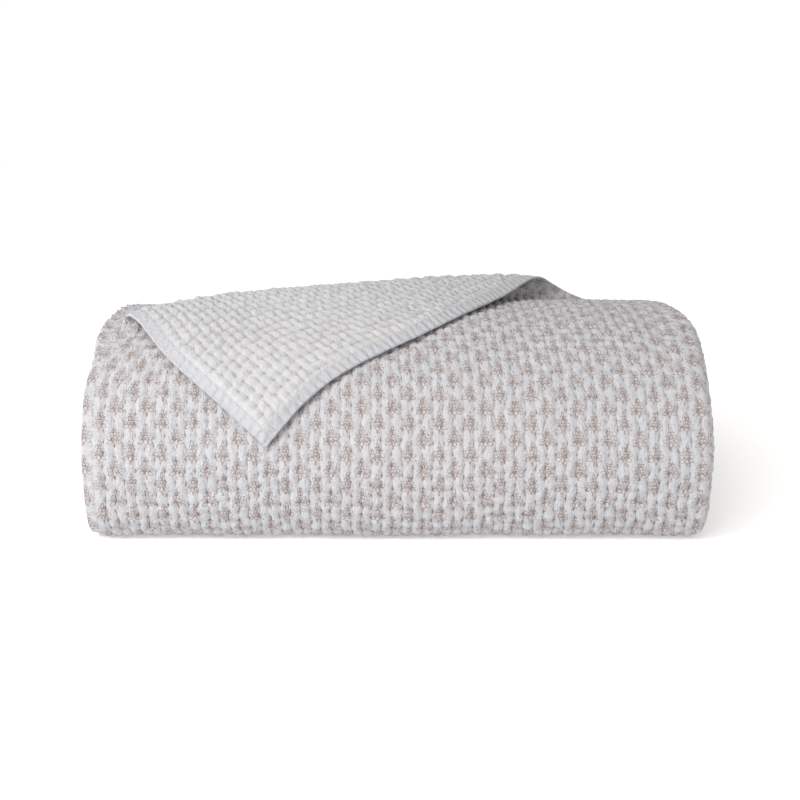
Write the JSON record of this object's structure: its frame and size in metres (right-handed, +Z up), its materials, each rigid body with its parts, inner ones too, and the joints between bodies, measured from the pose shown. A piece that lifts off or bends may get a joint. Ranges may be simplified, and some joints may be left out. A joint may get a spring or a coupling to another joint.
{
  "type": "quilt",
  "caption": "Thick quilted cotton bedspread folded into a soft bundle, its top corner turned back to show the plain reverse.",
  "frame": {"origin": "centre of the footprint on the surface that the bundle rests on", "axes": "+X along the front fold to the right, +Y from the front fold to the back, +Z up"},
  "size_m": [0.8106, 0.4878, 0.2924],
  "materials": {
    "cotton": "soft washed quilted cotton with a small taupe print"
  },
  "bodies": {
    "root": {"quilt": "cotton"}
  },
  "joints": []
}
